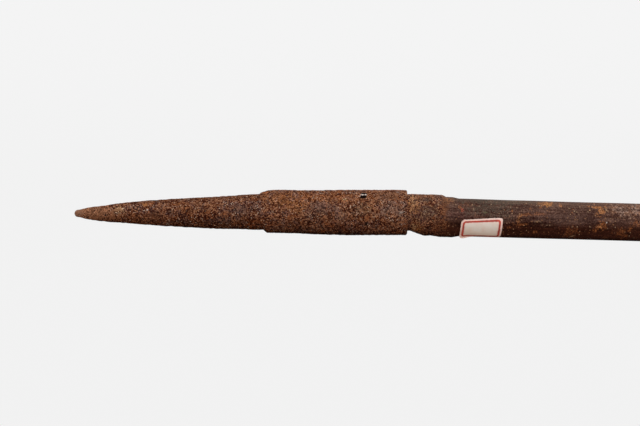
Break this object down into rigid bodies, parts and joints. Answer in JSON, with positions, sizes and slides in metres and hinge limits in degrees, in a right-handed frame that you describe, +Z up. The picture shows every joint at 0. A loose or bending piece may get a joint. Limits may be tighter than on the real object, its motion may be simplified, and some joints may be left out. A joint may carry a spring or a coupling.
{
  "type": "hand harpoon",
  "caption": "Hand harpoon with a solid tapered iron point driven into a pipe socket, nailed to a plain round wooden shaft, with a small bare paper label.",
  "frame": {"origin": "on the shaft's axis where the harpoon balances in the hand, 255 mm behind the mouth of the socket", "axes": "X along the shaft with the butt at +X and the tip of the point at -X, +Z up, and the label on the side that faces -Y"},
  "size_m": [1.6969, 0.034, 0.0362],
  "materials": {
    "rusted_iron": "granular rust, medium brown with orange grains",
    "dark_wood": "dark worn wood, rust-stained near the socket",
    "label_paper": "matt aged paper with a plain red frame",
    "black_nail": "glossy black"
  },
  "bodies": {
    "root": {"point": "rusted_iron", "socket": "rusted_iron", "shaft": "dark_wood", "label": "label_paper", "nail_upper_front": "black_nail", "nail_lower_front": "black_nail", "nail_upper_back": "black_nail", "nail_lower_back": "black_nail"}
  },
  "joints": []
}
